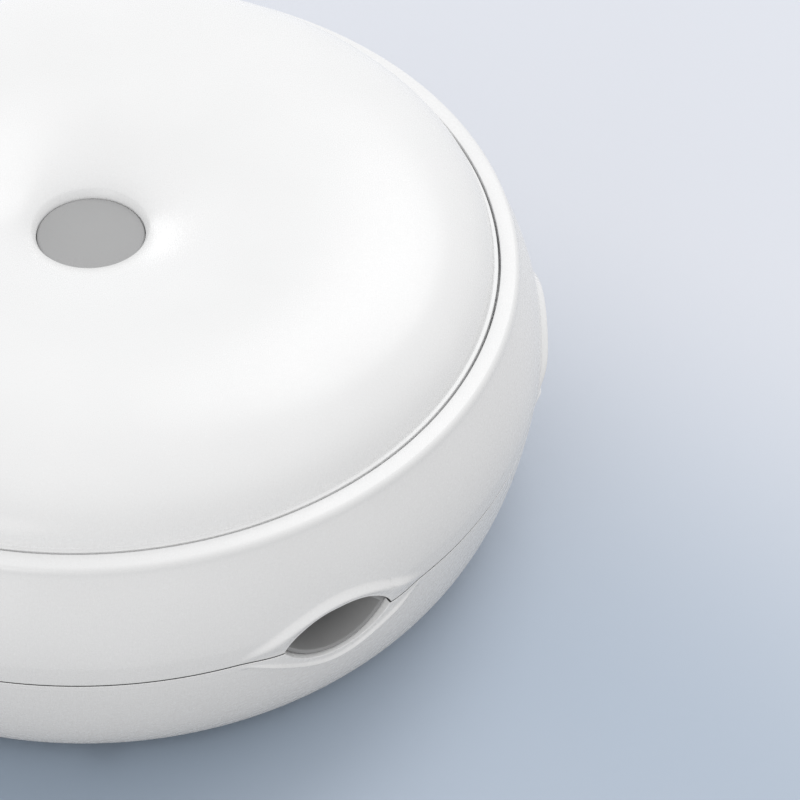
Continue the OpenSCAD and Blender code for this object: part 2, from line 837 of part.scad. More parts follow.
// Bridge that keeps the rack down between its rails
module rack_guide(x) {
    lift = rack_pitch_z + rack_module + slide_gap - rail_top_z;
    l = 2 * guide_screw_x;
    w = 2 * (rail_y + rail_t);
    top = lift + bridge_t;
    translate([x[0], 0, rail_top_z]) difference() {
        translate([0, -w / 2, 0]) cube([l, w, top]);
        translate([-past, -rail_y, -past]) cube([l + 2 * past, 2 * rail_y, lift + past]);
        for (s = [-1, 1]) translate([guide_screw_x, s * (rail_y + rail_t / 2), 0])
            slab(-past, top + past, tiny_r + pass_gap);
    }
}
module rack_guide_rear() color(GEAR) rack_guide(guide_x);
module rack_guide_front() color(GEAR) rack_guide(guide_front_x);
guide_head_z = rack_pitch_z + rack_module + slide_gap + bridge_t;
module guide_screws() color(STEEL)
    guide_screw_places() translate([0, 0, guide_head_z]) small_screw(guide_head_z - rail_top_z + tiny_bite);
module small_screw(l) {
    cylinder(r = tiny_head_r, h = tiny_head_t);
    translate([0, 0, -l]) cylinder(r = tiny_r, h = l + tiny_head_t / 2);
}

strap_z = rack_pinion_z - wand_motor_h / 2 + 3;
// Cradle under the wand's motor
module motor_cradle() {
    low = rack_pinion_z - wand_motor_h / 2;
    w = wand_motor_w + 2 * strap_foot;
    translate([rack_pinion_x - wand_motor_w / 2, wand_motor_y + 2, deck_top_z - past])
        cube([wand_motor_w, wand_motor_l - 4, low - deck_top_z + past]);
    difference() {
        translate([rack_pinion_x - w / 2, strap_y - strap_w / 2, deck_top_z - past])
            cube([w, strap_w, strap_z - deck_top_z + past]);
        translate([rack_pinion_x - wand_motor_w / 2 - strap_gap, strap_y - strap_w, low])
            cube([wand_motor_w + 2 * strap_gap, 2 * strap_w, 2 * wand_motor_h]);
    }
}
module strap_screw_places() {
    place = (wand_motor_w + strap_foot) / 2 + 0.4;
    for (s = [-1, 1]) translate([rack_pinion_x + s * place, strap_y, 0]) children();
}
module motor_strap() color(STEEL) {
    foot_w = wand_motor_w + 2 * strap_foot;
    bow_w = wand_motor_w + 2 * (strap_gap + strap_t);
    l = strap_w - 1;
    difference() {
        union() {
            strap_block(foot_w, l, strap_z, strap_z + strap_t);
            strap_block(bow_w, l, strap_z, wand_motor_top + strap_gap + strap_t);
        }
        strap_block(wand_motor_w + 2 * strap_gap, l + 2 * past, strap_z - past, wand_motor_top + strap_gap);
        strap_screw_places() slab(0, rim_z, tiny_r + pass_gap);
    }
}
// Block across the motor's middle, under the strap
module strap_block(w, l, z0, z1) {
    translate([rack_pinion_x - w / 2, strap_y - l / 2, z0]) cube([w, l, z1 - z0]);
}
module strap_screws() color(STEEL)
    strap_screw_places() translate([0, 0, strap_z + strap_t]) small_screw(strap_t + tiny_bite);

// Square gearbox in front of a motor can with two flats
module wand_motor() color(STEEL) {
    gearbox_l = 9;
    difference() {
        union() {
            motor_block(gearbox_l);
            intersection() {
                motor_block(wand_motor_l);
                rack_axis() slab(-wand_motor_y - wand_motor_l, -wand_motor_y, wand_motor_w / 2);
            }
        }
        rack_axis() slab(-wand_motor_y - wand_shaft_in - 0.5, past - wand_motor_y, wand_shaft_r + shaft_gap);
    }
}
module motor_block(l) {
    translate([rack_pinion_x - wand_motor_w / 2, wand_motor_y, rack_pinion_z - wand_motor_h / 2])
        cube([wand_motor_w, l, wand_motor_h]);
}

// Axis of the rack's pinion: its own +Z points along -Y
module rack_axis() { translate([rack_pinion_x, 0, rack_pinion_z]) rotate([90, 0, 0]) children(); }
pinion_w = rack_w - 2;
module wand_shaft() color(STEEL)
    rack_axis() slab(-wand_motor_y - wand_shaft_in, pinion_w / 2 + 0.5, wand_shaft_r);
module wand_pinion() color(BRASS) {
    rack_axis() translate([0, 0, -pinion_w / 2]) difference() {
        rotate([0, 0, -90]) gear(rack_teeth, rack_module, pinion_w);
        translate([0, 0, -past]) cylinder(r = wand_shaft_r + screw_gap, h = pinion_w + 2 * past);
    }
}

module drum_axle() color(STEEL) {
    difference() {
        slab(axle_foot_z, axle_top_z, axle_r);
        difference() {
            slab(clip_z - shaft_gap, clip_z + clip_t + shaft_gap, axle_r + past);
            slab(clip_z - past, clip_z + clip_t + past, axle_r - clip_groove);
        }
    }
}
module drum_bush() color(BRASS) {
    difference() {
        slab(hub_z, hub_top_z, bush_r);
        slab(hub_z - past, hub_top_z + past, axle_r + run_gap);
    }
}
module axle_clip() color(STEEL) {
    mouth = 1.4 * axle_r;
    difference() {
        slab(clip_z, clip_z + clip_t, axle_r + clip_w);
        slab(clip_z - past, clip_z + clip_t + past, axle_r - clip_groove + shaft_gap);
        translate([0, -mouth / 2, clip_z - past]) cube([2 * axle_r, mouth, clip_t + 2 * past]);
    }
}

// Straight rack with teeth along its top, and a round nose that holds the rod
module wand_rack() color(GEAR) {
    step = PI * rack_module;
    add = rack_module * tooth_add;
    ded = rack_module * tooth_ded;
    lean = tan(tooth_angle);
    half = step / 4 - rack_module * tooth_play / 2;
    count = floor((rack_tooth_x - rack_tail_x) / step);
    first = rack_pinion_x + step * (round((rack_tooth_x - rack_pinion_x) / step) - 0.5);
    teeth = [for (i = [0:count - 1]) let (x = first - i * step) each [
        [x + half + ded * lean, rack_pitch_z - ded], [x + half - add * lean, rack_pitch_z + add],
        [x - half + add * lean, rack_pitch_z + add], [x - half - ded * lean, rack_pitch_z - ded]]];
    difference() {
        union() {
            translate([0, rack_w / 2, 0]) rotate([90, 0, 0]) linear_extrude(rack_w) polygon(concat(
                [[rack_tail_x, rack_low_z], [rack_end_x, rack_low_z], [rack_end_x, rack_pitch_z - ded]],
                teeth, [[rack_tail_x, rack_pitch_z - ded]]));
            translate([rack_end_x - past, 0, seam_z - nose_drop]) rotate([0, 90, 0])
                cylinder(r = nose_h / 2, h = nose_l + past);
        }
        translate([rod_x - 0.2, 0, seam_z]) rotate([0, 90, 0])
            cylinder(r = rod_r + screw_gap, h = rack_nose_x - rod_x + past);
    }
}
module feather_rod() color(STEEL)
    translate([rod_x, 0, seam_z]) rotate([0, 90, 0]) cylinder(r = rod_r, h = rod_end_x - rod_x);
module feather_ferrule() color(BRASS) {
    translate([ferrule_x, 0, seam_z]) rotate([0, 90, 0]) difference() {
        cylinder(r = ferrule_r, h = ferrule_l);
        translate([0, 0, -past]) cylinder(r = rod_r + screw_gap, h = ferrule_l - ferrule_end + past);
    }
}

// Flat blade of a feather: a quill that widens into a pointed vane
module feather(turn, lift) color(FEATHER) {
    n = 16;
    bare = 5;
    quill = 0.5;
    half = [
        for (i = [0:n]) let (t = i / n)
            [bare + (feather_l - bare) * t, quill + feather_w / 2 * pow(sin(180 * pow(t, 0.75)), 0.8)]
    ];
    translate([feather_x, 0, seam_z + lift - feather_t / 2]) rotate([0, 0, turn]) linear_extrude(feather_t)
        polygon(concat([[0, quill]], half, backwards([for (p = half) [p.x, -p.y]]), [[0, -quill]]));
}
module feather_left() { feather(feather_fan, feather_step); }
module feather_middle() { feather(0, 0); }
module feather_right() { feather(-feather_fan, -feather_step); }

// Cells lie side by side along X, every second one turned round
module battery(i) color(CELL) {
    tip_r = 2.75;
    tip_l = 1.2;
    turn = i % 2 == 0 ? 0 : 180;
    translate([0, (i - (cell_count - 1) / 2) * cell_pitch, cell_z]) rotate([0, 0, turn]) rotate([0, 90, 0]) {
        translate([0, 0, -cell_l / 2]) cylinder(r = cell_d / 2, h = cell_l - tip_l);
        translate([0, 0, cell_l / 2 - tip_l - past]) cylinder(r = tip_r, h = tip_l + past);
    }
}

plate_contact_t = 0.4;
module cell_ends(tip) {
    for (i = [0:cell_count - 1]) let (turn = (i % 2 == 0) == tip ? 0 : 180)
        translate([0, (i - (cell_count - 1) / 2) * cell_pitch, cell_z]) rotate([0, 0, turn]) children();
}
// Flat plates that the cells' tips press on
module contact_plates() color(BRASS) {
    tab = 9;
    cell_ends(true) translate([cell_l / 2 + 0.1, 0, 0]) {
        translate([0, -tab / 2, -tab / 2]) cube([plate_contact_t, tab, tab]);
        translate([0, -2, tab / 2 - past]) cube([plate_contact_t, 4, past + 2.6]);
        translate([0, -2, tab / 2 + 2.6 - plate_contact_t]) cube([contact_room - 0.1, 4, plate_contact_t]);
    }
}
// Coils that press on the cells' flat ends
module contact_springs() color(STEEL) {
    wire = 0.3;
    turns = 3;
    wide_r = 4.6;
    narrow_r = 3;
    rise = (contact_room - 2 * wire - 0.2) / turns;
    cell_ends(false) translate([bay_l / 2 - wire - 0.1, 0, 0]) rotate([0, -90, 0])
        tube_through([
            for (i = [0:8 * turns])
                spring_ring(45 * i, wide_r + (narrow_r - wide_r) * i / 8 / turns, rise, wire)
        ]);
}

module at_feet() {
    for (i = [0:3]) foot_at(i) children();
}
module foot_at(i) { rotate([0, 0, 45 + 90 * i]) translate([base_r - foot_in, 0, 0]) children(); }
module foot(i) color(BLACK) {
    edge = 0.4;
    foot_at(i) rotate_extrude() polygon([[0, 0], [foot_r - edge, 0], [foot_r - 0.1, edge],
        [foot_r - 0.1, foot_gap + foot_let_in], [0, foot_gap + foot_let_in]]);
}

top_cover();
upper_casing();
lower_casing();
for (i = [0:port_count - 1]) port_liner(i);
mode_button();
switch_plunger();
button_spring();
control_board();
mode_switch();
board_screws();
cover_screws();
casing_screws();
plate_screws();
gear_plate();
turn_motor();
motor_screws();
turn_shaft();
turn_pinion();
drum();
ring_gear();
drum_axle();
drum_bush();
axle_clip();
rack_guide_front();
rack_guide_rear();
guide_screws();
wand_motor();
motor_strap();
strap_screws();
wand_shaft();
wand_pinion();
wand_rack();
feather_rod();
feather_ferrule();
feather_left();
feather_middle();
feather_right();
for (i = [0:3]) battery(i);
contact_plates();
contact_springs();
battery_door();
door_screw();
for (i = [0:3]) foot(i);
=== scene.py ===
"""Looks of the automatic cat feather toy: smooth shells, feathers, finishes, floor, light and camera."""
import json
import math
import random

import bmesh
import bpy
from mathutils import Matrix, Vector

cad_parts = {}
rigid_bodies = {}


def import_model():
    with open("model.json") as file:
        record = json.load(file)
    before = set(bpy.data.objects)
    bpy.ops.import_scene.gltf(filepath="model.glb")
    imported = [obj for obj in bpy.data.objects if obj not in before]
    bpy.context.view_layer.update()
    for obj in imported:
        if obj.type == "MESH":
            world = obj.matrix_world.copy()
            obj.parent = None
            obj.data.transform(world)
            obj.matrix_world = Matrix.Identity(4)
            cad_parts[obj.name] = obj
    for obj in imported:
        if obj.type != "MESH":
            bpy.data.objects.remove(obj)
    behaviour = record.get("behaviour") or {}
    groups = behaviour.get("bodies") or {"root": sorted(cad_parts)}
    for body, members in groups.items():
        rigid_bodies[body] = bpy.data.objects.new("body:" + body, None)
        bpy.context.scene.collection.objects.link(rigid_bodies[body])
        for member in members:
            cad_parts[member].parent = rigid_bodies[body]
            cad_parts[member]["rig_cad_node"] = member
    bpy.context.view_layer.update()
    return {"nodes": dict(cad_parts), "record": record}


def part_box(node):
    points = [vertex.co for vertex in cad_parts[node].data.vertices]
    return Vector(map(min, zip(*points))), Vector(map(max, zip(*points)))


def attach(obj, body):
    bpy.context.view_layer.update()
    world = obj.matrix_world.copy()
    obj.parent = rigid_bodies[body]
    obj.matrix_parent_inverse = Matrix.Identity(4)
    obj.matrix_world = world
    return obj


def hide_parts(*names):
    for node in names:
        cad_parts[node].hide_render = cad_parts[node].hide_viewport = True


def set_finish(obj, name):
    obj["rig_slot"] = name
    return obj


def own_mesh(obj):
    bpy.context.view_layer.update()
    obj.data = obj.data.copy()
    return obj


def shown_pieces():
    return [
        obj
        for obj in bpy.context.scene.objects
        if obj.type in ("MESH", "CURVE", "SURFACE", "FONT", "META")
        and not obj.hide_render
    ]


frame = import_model()
MM = 0.001


def in_mm(node):
    """Lowest and highest corner of a node, in millimetres."""
    return [[v / MM for v in corner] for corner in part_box(node)]


# Heights and radii in millimetres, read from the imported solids
UPPER_LOW, UPPER_HIGH = in_mm("upper_casing")
LOWER_LOW, LOWER_HIGH = in_mm("lower_casing")
COVER_LOW, COVER_HIGH = in_mm("top_cover")
SEAM_Z = (UPPER_LOW[2] + LOWER_HIGH[2]) / 2
SEAM_HALF = (UPPER_LOW[2] - LOWER_HIGH[2]) / 2
RIM_EDGE_RISE = 0.3
RIM_Z = UPPER_HIGH[2] - RIM_EDGE_RISE
UNDERSIDE_Z = LOWER_LOW[2]
COVER_R = COVER_HIGH[0]
CREST_Z = COVER_HIGH[2]
BUTTON_TOP_Z = in_mm("mode_button")[1][2]
DRUM_R = in_mm("drum")[1][0]

# Sizes of the shells that the boxes don't give
BELLY_R = COVER_R + 11.9
BELLY_Z = 44.0
BASE_R = COVER_R - 6.1
COVER_GAP = 0.6
COVER_SEAT = 4.0
CREST_R = 58.0
RIM_W = 4.8
BORE_R = 13.4
PORTS = 6
PORT_W = 29.0
PORT_H = 15.0
SCREW_PLACE_R = DRUM_R + 5.4
SCREW_TURNS = (30, 150, 270)
COUNTERBORE_R = 3.02
COUNTERBORE_Z = UNDERSIDE_Z + 11
RIM_IN_R = COVER_R + COVER_GAP
SHOULDER_R = RIM_IN_R + RIM_W
SEAT_Z = RIM_Z - COVER_SEAT

# Lips of the ports: a brow with a ridge above the seam and a pad with a bead along its foot below it
LIP_PROUD = 1.5
LIP_HALF_W = 26.0
# Brow: heights of its ridge over the seam in the middle and at its tails, the soft rise up to the ridge, the
# share that is lost again down to the hole's edge, the least way there, and how full its arch is
BROW_UP = 10.2
BROW_TAIL = 0.5
BROW_SOFT = 1.8
BROW_BEVEL = 0.5
BROW_CLEAR = 0.3
BROW_FULLNESS = 0.6
# Pad: its reach below the seam in the middle and at its tails, the shares of the lift at its foot and head,
# half the height of its step, and the height over which its bead falls
PAD_DOWN = 10.4
PAD_TAIL = 1.6
PAD_FOOT = 0.95
PAD_HEAD = 0.5
PAD_STEP = 0.3
PAD_BEAD = 0.9
# Rounded toe of the pad: share of its foot's lift, and height from its lower edge
PAD_TOE = ((0.6, -0.1), (0.93, 0.0))

# Hair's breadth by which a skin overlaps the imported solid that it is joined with
HAIR = 0.02
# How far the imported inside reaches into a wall, and stays behind a rim, skirt, dome or bore
MID_WALL = 1.3
CORE_INSET = 1.2
# Upright part of a face's normal above which it counts as level, and is shaded flat
LEVEL = 0.999999
# Angle between two faces above which their edge is sharp
SHARP_ANGLE = math.radians(32)


def bezier(points, count):
    """Points along a curve with three or four control points."""
    result = []
    for i in range(count + 1):
        work = [Vector(p) for p in points]
        t = i / count
        while len(work) > 1:
            work = [a.lerp(b, t) for a, b in zip(work, work[1:])]
        result.append(work[0])
    return result


def smooth(low, high, x):
    """0 at low, 1 at high, with soft ends."""
    t = min(1.0, max(0.0, (x - low) / (high - low)))
    return t * t * (3 - 2 * t)


# Outside of the casing as radius and height
SHOULDER = Vector((SHOULDER_R, RIM_Z - 2.0))
BELLY = Vector((BELLY_R, BELLY_Z))
UNDERSIDE = Vector((BASE_R, UNDERSIDE_Z))
BAND_EDGE = Vector((RIM_IN_R + 0.72 * RIM_W, RIM_Z - 0.1))
SHOULDER_CURVE = bezier([BAND_EDGE, (SHOULDER_R - 0.3, RIM_Z - 0.3), SHOULDER], 10)
WALL_CURVE = (
    bezier([UNDERSIDE, UNDERSIDE + Vector((12.5, 0)), BELLY + Vector((-0.4, -14)), BELLY], 90)
    + bezier([BELLY, BELLY + Vector((-0.4, 10)), SHOULDER + Vector((1.9, -5.4)), SHOULDER], 60)[1:]
)


def wall_radius(z):
    """Radius of the casing's outside at a height."""
    for a, b in zip(WALL_CURVE, WALL_CURVE[1:]):
        if a.y <= z <= b.y:
            return a.x + (b.x - a.x) * (z - a.y) / max(b.y - a.y, 1e-9)
    return WALL_CURVE[0].x if z < WALL_CURVE[0].y else WALL_CURVE[-1].x


# Meshes
def column_mesh(columns):
    """Closed mesh from columns of points round the Z axis; the ends of each column meet on the axis."""
    bm = bmesh.new()
    made = [[bm.verts.new(Vector(p) * MM) for p in column] for column in columns]
    tips = [bm.verts.new((0, 0, columns[0][row][2] * MM)) for row in (0, -1)]
    for column, following in zip(made, made[1:] + made[:1]):
        for i in range(len(column) - 1):
            bm.faces.new((column[i], following[i], following[i + 1], column[i + 1]))
        bm.faces.new((tips[0], following[0], column[0]))
        bm.faces.new((tips[1], column[-1], following[-1]))
    bmesh.ops.recalc_face_normals(bm, faces=bm.faces)
    return bm


def turned(profile, segments=256):
    """Solid of revolution of an open profile of radii and heights."""
    columns = []
    for j in range(segments):
        a = 2 * math.pi * j / segments
        columns.append([(r * math.cos(a), r * math.sin(a), z) for r, z in profile])
    return column_mesh(columns)


def rod(x, y, r, z0, z1, segments=48):
    """Upright cylinder."""
    bm = turned([(r, z0), (r, z1)], segments)
    bmesh.ops.translate(bm, verts=bm.verts, vec=Vector((x, y, 0)) * MM)
    return bm


def as_object(name, bm):
    """New object in the scene from a mesh, which is freed."""
    mesh = bpy.data.meshes.new(name)
    bm.to_mesh(mesh)
    bm.free()
    made = bpy.data.objects.new(name, mesh)
    bpy.context.scene.collection.objects.link(made)
    return made


def packed_copy(node):
    """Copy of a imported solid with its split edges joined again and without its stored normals."""
    bm = bmesh.new()
    bm.from_mesh(frame["nodes"][node].data)
    bmesh.ops.remove_doubles(bm, verts=bm.verts, dist=1e-6)
    made = as_object(node + "_inside", bm)
    stored = made.data.attributes.get("custom_normal")
    if stored:
        made.data.attributes.remove(stored)
    return made


def cut(piece, *tools):
    """Takes the tools out of the piece and deletes them."""
    for tool in tools:
        step = piece.modifiers.new("cut", "BOOLEAN")
        step.operation = "DIFFERENCE"
        step.solver = "MANIFOLD"
        step.object = tool
    bpy.context.view_layer.update()
    evaluated = piece.evaluated_get(bpy.context.evaluated_depsgraph_get())
    result = bpy.data.meshes.new_from_object(evaluated)
    piece.modifiers.clear()
    piece.data = result
    for tool in tools:
        bpy.data.objects.remove(tool)
    return piece


def finish_piece(piece, body, slot, replaced):
    """Shades a piece, hangs it on its body, names its slot and hides the node that it stands for."""
    piece.data.shade_smooth()
    piece.data.set_sharp_from_angle(angle=SHARP_ANGLE)
    for polygon in piece.data.polygons:
        polygon.use_smooth = abs(polygon.normal.z) < LEVEL
    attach(piece, body)
    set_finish(piece, slot)
    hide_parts(replaced)


def skinned(name, node, skin, core, *bores):
    """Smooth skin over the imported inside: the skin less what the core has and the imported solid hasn't."""
    void = cut(as_object("void", core), packed_copy(node))
    return cut(as_object(name, skin), void, *[as_object("bore", b) for b in bores])


# Ports
EYE_R = (PORT_W ** 2 / 4 + PORT_H ** 2 / 4) / PORT_H
EYE_DROP = EYE_R - PORT_H / 2
POCKET_R = DRUM_R + 12


def eye_half(u):
    """Half the height of a port's hole at a distance from its middle."""
    r = EYE_R + HAIR
    if abs(u) >= math.sqrt(r ** 2 - EYE_DROP ** 2):
        return 0.0
    return math.sqrt(r ** 2 - u ** 2) - EYE_DROP


# Upper outline of a hole at the outer edge, fuller than the eye, from which it narrows inwards
TOP_HALF_W = PORT_W / 2 + 0.2
TOP_H = PORT_H / 2 + 0.9
TOP_FULLNESS = 2.4
TOP_POINT = 0.75
FLARE_DEPTH = 2.6


def eye_top(u):
    """Height of a hole's upper outline over the seam."""
    return TOP_H * max(0.0, 1 - abs(u / TOP_HALF_W) ** TOP_FULLNESS) ** TOP_POINT


def bell(u):
    """1 in the middle of a port, falling softly to 0 at the ends of its lips."""
    return (1 + math.cos(math.pi * min(1.0, abs(u) / LIP_HALF_W))) / 2


def proud(u):
    """How far a lip stands out, the same along its middle and falling to 0 at its ends."""
    return LIP_PROUD * smooth(LIP_HALF_W, 0.6 * LIP_HALF_W, abs(u))


# Columns from a port's middle to its corner, on to its lips' ends and to the middle between two ports
EYE_COLUMNS = 26
LIP_COLUMNS = 22
LIP_CROWDING = 1.5
PLAIN_COLUMNS = 18


def sector_angles():
    """Angles of the columns round one port, closest beside its corners."""
    corner = math.asin(TOP_HALF_W / BELLY_R)
    tail = math.asin((LIP_HALF_W + 0.5) / BELLY_R)
    edge = math.pi / PORTS
    side = [corner * math.sin(math.pi / 2 * i / EYE_COLUMNS) for i in range(EYE_COLUMNS + 1)]
    for i in range(1, LIP_COLUMNS + 1):
        side.append(corner + (tail - corner) * (i / LIP_COLUMNS) ** LIP_CROWDING)
    side += [tail + (edge - tail) * i / PLAIN_COLUMNS for i in range(1, PLAIN_COLUMNS)]
    return [-a for a in reversed(side[1:])] + side + [edge]


def port_columns(section):
    """Columns of points round the casing, from a section at an angle from the nearest port."""
    columns = []
    for port in range(PORTS):
        for a in sector_angles():
            turn = a + 2 * math.pi * port / PORTS
            columns.append([(r * math.cos(turn), r * math.sin(turn), z) for r, z in section(a)])
    return columns


# Radius of the shells' edges along the seam and above a port, and the turns of the points on them
SEAM_EDGE = 0.25
PORT_EDGE = 0.4
EDGE_TURNS = [math.radians(d) for d in (18, 36, 54, 72)]
# Depths of the points on a hole's wall
HOLE_STEPS = (0.9, 1.6, 2.6, 4.0)


def edge_size(a, side):
    """Radius of the rounded edge; side is 1 for the upper shell and -1 for the lower one."""
    if side < 0:
        return SEAM_EDGE
    return SEAM_EDGE + (PORT_EDGE - SEAM_EDGE) * smooth(0, 2.5, eye_half(BELLY_R * math.sin(a)))


def port_edge(edge_r, a, side):
    """Rounded edge of a hole and its wall inwards; along the seam, the narrow gap between the shells."""
    least = SEAM_HALF - HAIR

    def edge_z(r):
        """Height of the hole's wall at a radius."""
        u = r * math.sin(a)
        half = eye_half(u)
        if side > 0:
            half += max(0.0, eye_top(u) - half) * max(0.0, 1 - (edge_r - r) / FLARE_DEPTH)
        return SEAM_Z + side * max(least, half)

    size = edge_size(a, side)
    points = []
    for t in EDGE_TURNS:
        r = edge_r - size * (1 - math.cos(t))
        points.append((r, edge_z(r) + side * size * (1 - math.sin(t))))
    for r in [edge_r - d for d in HOLE_STEPS] + [POCKET_R]:
        points.append((r, edge_z(r)))
    points.append((POCKET_R - 0.1, SEAM_Z + side * least))
    return points


def brow_lift(u, z, edge):
    """How far the brow stands out: it rises from the wall to a ridge and falls back to the hole's edge."""
    height = BROW_TAIL + (BROW_UP - BROW_TAIL) * bell(u) ** BROW_FULLNESS
    ridge = max(edge + BROW_CLEAR, SEAM_Z + height)
    return proud(u) * (smooth(ridge + BROW_SOFT, ridge, z) - BROW_BEVEL * smooth(ridge, edge, z))


BAND_CORNER = bezier([(RIM_IN_R, RIM_Z - 0.1), (RIM_IN_R, RIM_Z + 0.1), (RIM_IN_R + 0.2, RIM_Z + 0.1)], 4)
UPPER_ROWS = 64
UPPER_CROWDING = 1.35
LOWER_ROWS = 20
PAD_ROWS = 12
PAD_CROWDING = 1.4
# Height up to which the lower wall is the same all round
PLAIN_Z = 20.0


def upper_section(a):
    """Skin of the upper casing from the cover's seat over the rim and down to the seam."""
    u = BELLY_R * math.sin(a)
    points = [(RIM_IN_R, SEAT_Z + HAIR)]
    points += [tuple(p) for p in BAND_CORNER]
    points += [tuple(p) for p in SHOULDER_CURVE]
    bottom = SEAM_Z + max(SEAM_HALF, eye_top(u)) + edge_size(a, 1)
    for i in range(1, UPPER_ROWS + 1):
        z = SHOULDER.y + (bottom - SHOULDER.y) * (1 - (1 - i / UPPER_ROWS) ** UPPER_CROWDING)
        points.append((wall_radius(z) + brow_lift(u, z, bottom), z))
    return points + port_edge(points[-1][0], a, 1)


def lower_section(a):
    """Skin of the lower casing from the flat underside up the wall to the seam."""
    u = BELLY_R * math.sin(a)
    points = [(BASE_R - 1, UNDERSIDE_Z - HAIR)]
    points += [tuple(p) for p in WALL_CURVE if p.y < PLAIN_Z]
    pad_z = SEAM_Z - (PAD_TAIL + (PAD_DOWN - PAD_TAIL) * bell(u))
    for i in range(LOWER_ROWS):
        z = PLAIN_Z + (pad_z - PAD_STEP - PLAIN_Z) * i / (LOWER_ROWS - 1)
        points.append((wall_radius(z), z))
    top = SEAM_Z - max(SEAM_HALF, eye_half(u)) - edge_size(a, -1)
    low = pad_z + PAD_STEP
    for share, rise in PAD_TOE:
        points.append((wall_radius(pad_z) + proud(u) * PAD_FOOT * share, pad_z + rise))
    for i in range(PAD_ROWS + 1):
        z = low + (top - low) * (i / PAD_ROWS) ** PAD_CROWDING
        lift = PAD_HEAD + (PAD_FOOT - PAD_HEAD) * smooth(PAD_BEAD, 0, z - low)
        points.append((wall_radius(z) + proud(u) * lift, z))
    return points + port_edge(points[-1][0], a, -1)


CORE_ROWS = 24


def wall_core(z0, z1):
    """Radii and heights halfway into the wall."""
    heights = [z0 + (z1 - z0) * i / CORE_ROWS for i in range(CORE_ROWS + 1)]
    return [(wall_radius(z) - MID_WALL, z) for z in heights]


def upper_core():
    """Core of the upper casing, inside its rim and wall."""
    r = RIM_IN_R - CORE_INSET
    return turned([(r, SEAT_Z + 1), (r, SEAT_Z - 1)] + wall_core(SEAT_Z - 2.5, SEAM_Z - 4))


def lower_core():
    """Core of the lower casing, open at the flat underside."""
    r = BASE_R - 0.8
    return turned([(r, UNDERSIDE_Z - 1), (r, UNDERSIDE_Z + 2)] + wall_core(UNDERSIDE_Z + 2.2, SEAM_Z + 3))


def counterbores():
    """Bores for the heads of the casing screws, through the skin of the underside."""
    bores = []
    for turn in map(math.radians, SCREW_TURNS):
        x, y = SCREW_PLACE_R * math.cos(turn), SCREW_PLACE_R * math.sin(turn)
        bores.append(rod(x, y, COUNTERBORE_R, UNDERSIDE_Z - 1, COUNTERBORE_Z))
    return bores


upper_skin = column_mesh(port_columns(upper_section))
upper_shell = skinned("upper_shell", "upper_casing", upper_skin, upper_core())
finish_piece(upper_shell, "casing", "casing", "upper_casing")

lower_skin = column_mesh(port_columns(lower_section))
lower_shell = skinned("lower_shell", "lower_casing", lower_skin, lower_core(), *counterbores())
finish_piece(lower_shell, "casing", "casing", "lower_casing")

# Top cover: radii and heights of its edge, its bore and the curves of its dome and dish
COVER_EDGE_Z = RIM_Z + 0.1
COVER_LEAD = 0.25
COVER_SEGMENTS = 360
SKIRT_R = COVER_R - 1.6
SKIRT_Z = COVER_LOW[2] - 1
FLANGE_W = 0.9
SKIN_BORE_R = 13.15
LIP_FOOT_Z = BUTTON_TOP_Z - 1.4
CREST = Vector((CREST_R, CREST_Z))
DISH_LIP = Vector((BORE_R, BUTTON_TOP_Z + 1))
DISH_END = DISH_LIP + Vector((0.8, 1.2))
DOME_FOOT = Vector((COVER_R - FLANGE_W, COVER_EDGE_Z + 0.1))
EDGE_CURVE = bezier(
    [(COVER_R, COVER_EDGE_Z - COVER_LEAD), (COVER_R, COVER_EDGE_Z), (COVER_R - COVER_LEAD, COVER_EDGE_Z)], 6
)
DOME_CURVE = bezier([DOME_FOOT, DOME_FOOT + Vector((-1.2, 10)), CREST + Vector((26, 0)), CREST], 90)
DISH_CURVE = bezier([CREST, CREST + Vector((-20, 0)), (BORE_R + 6.3, BUTTON_TOP_Z + 7.0), DISH_END], 90)
LIP_CURVE = bezier([DISH_END, DISH_LIP + Vector((0.05, 0.2)), (SKIN_BORE_R, DISH_LIP.y - 0.8)], 8)
PACKED_FOOT = Vector((COVER_R - 1.8, RIM_Z + 0.3))
PACKED_DOME = bezier([PACKED_FOOT, (COVER_R - 3.8, RIM_Z + 9), CREST + Vector((22, 0)), CREST], 15)


def cover_skin():
    """Skin of the cover, from its skirt over the crest and down the dish to the button's bore."""
    points = [(SKIRT_R, SKIRT_Z), (SKIRT_R, SEAT_Z), (COVER_R, SEAT_Z)]
    points += [tuple(p) for p in EDGE_CURVE + DOME_CURVE + DISH_CURVE[1:] + LIP_CURVE[1:]]
    points += [(SKIN_BORE_R, LIP_FOOT_Z), (BORE_R - HAIR, LIP_FOOT_Z), (BORE_R - HAIR, SKIRT_Z)]
    return turned(points, COVER_SEGMENTS)


def cover_core():
    """Core of the cover, inside its skirt and halfway into its packed dome and dish."""
    r = COVER_R - CORE_INSET
    points = [(r, SKIRT_Z - 1), (r, SEAT_Z + 1), (COVER_R - 3.2, RIM_Z)]
    points += [(p.x - 0.8, p.y - CORE_INSET) for p in PACKED_DOME[1:]]
    points += [(p.x + 0.4, p.y - CORE_INSET) for p in DISH_CURVE[6::6]]
    return turned(points + [(BORE_R + CORE_INSET, LIP_FOOT_Z - HAIR)])


top_dome = skinned("top_dome", "top_cover", cover_skin(), cover_core())
finish_piece(top_dome, "casing", "casing", "top_cover")

# Liners of the ports, eye-shaped sleeves with a rounded front edge
LINER_GAP = 0.15
LINER_WALL = 1.4
LINER_OUT = -LINER_GAP
LINER_IN = LINER_OUT - LINER_WALL
LINER_FRONT_R = BELLY_R - 1.4
LINER_LEAN = 0.3
LINER_BACK_R = DRUM_R + 1
LINER_STEPS = 44
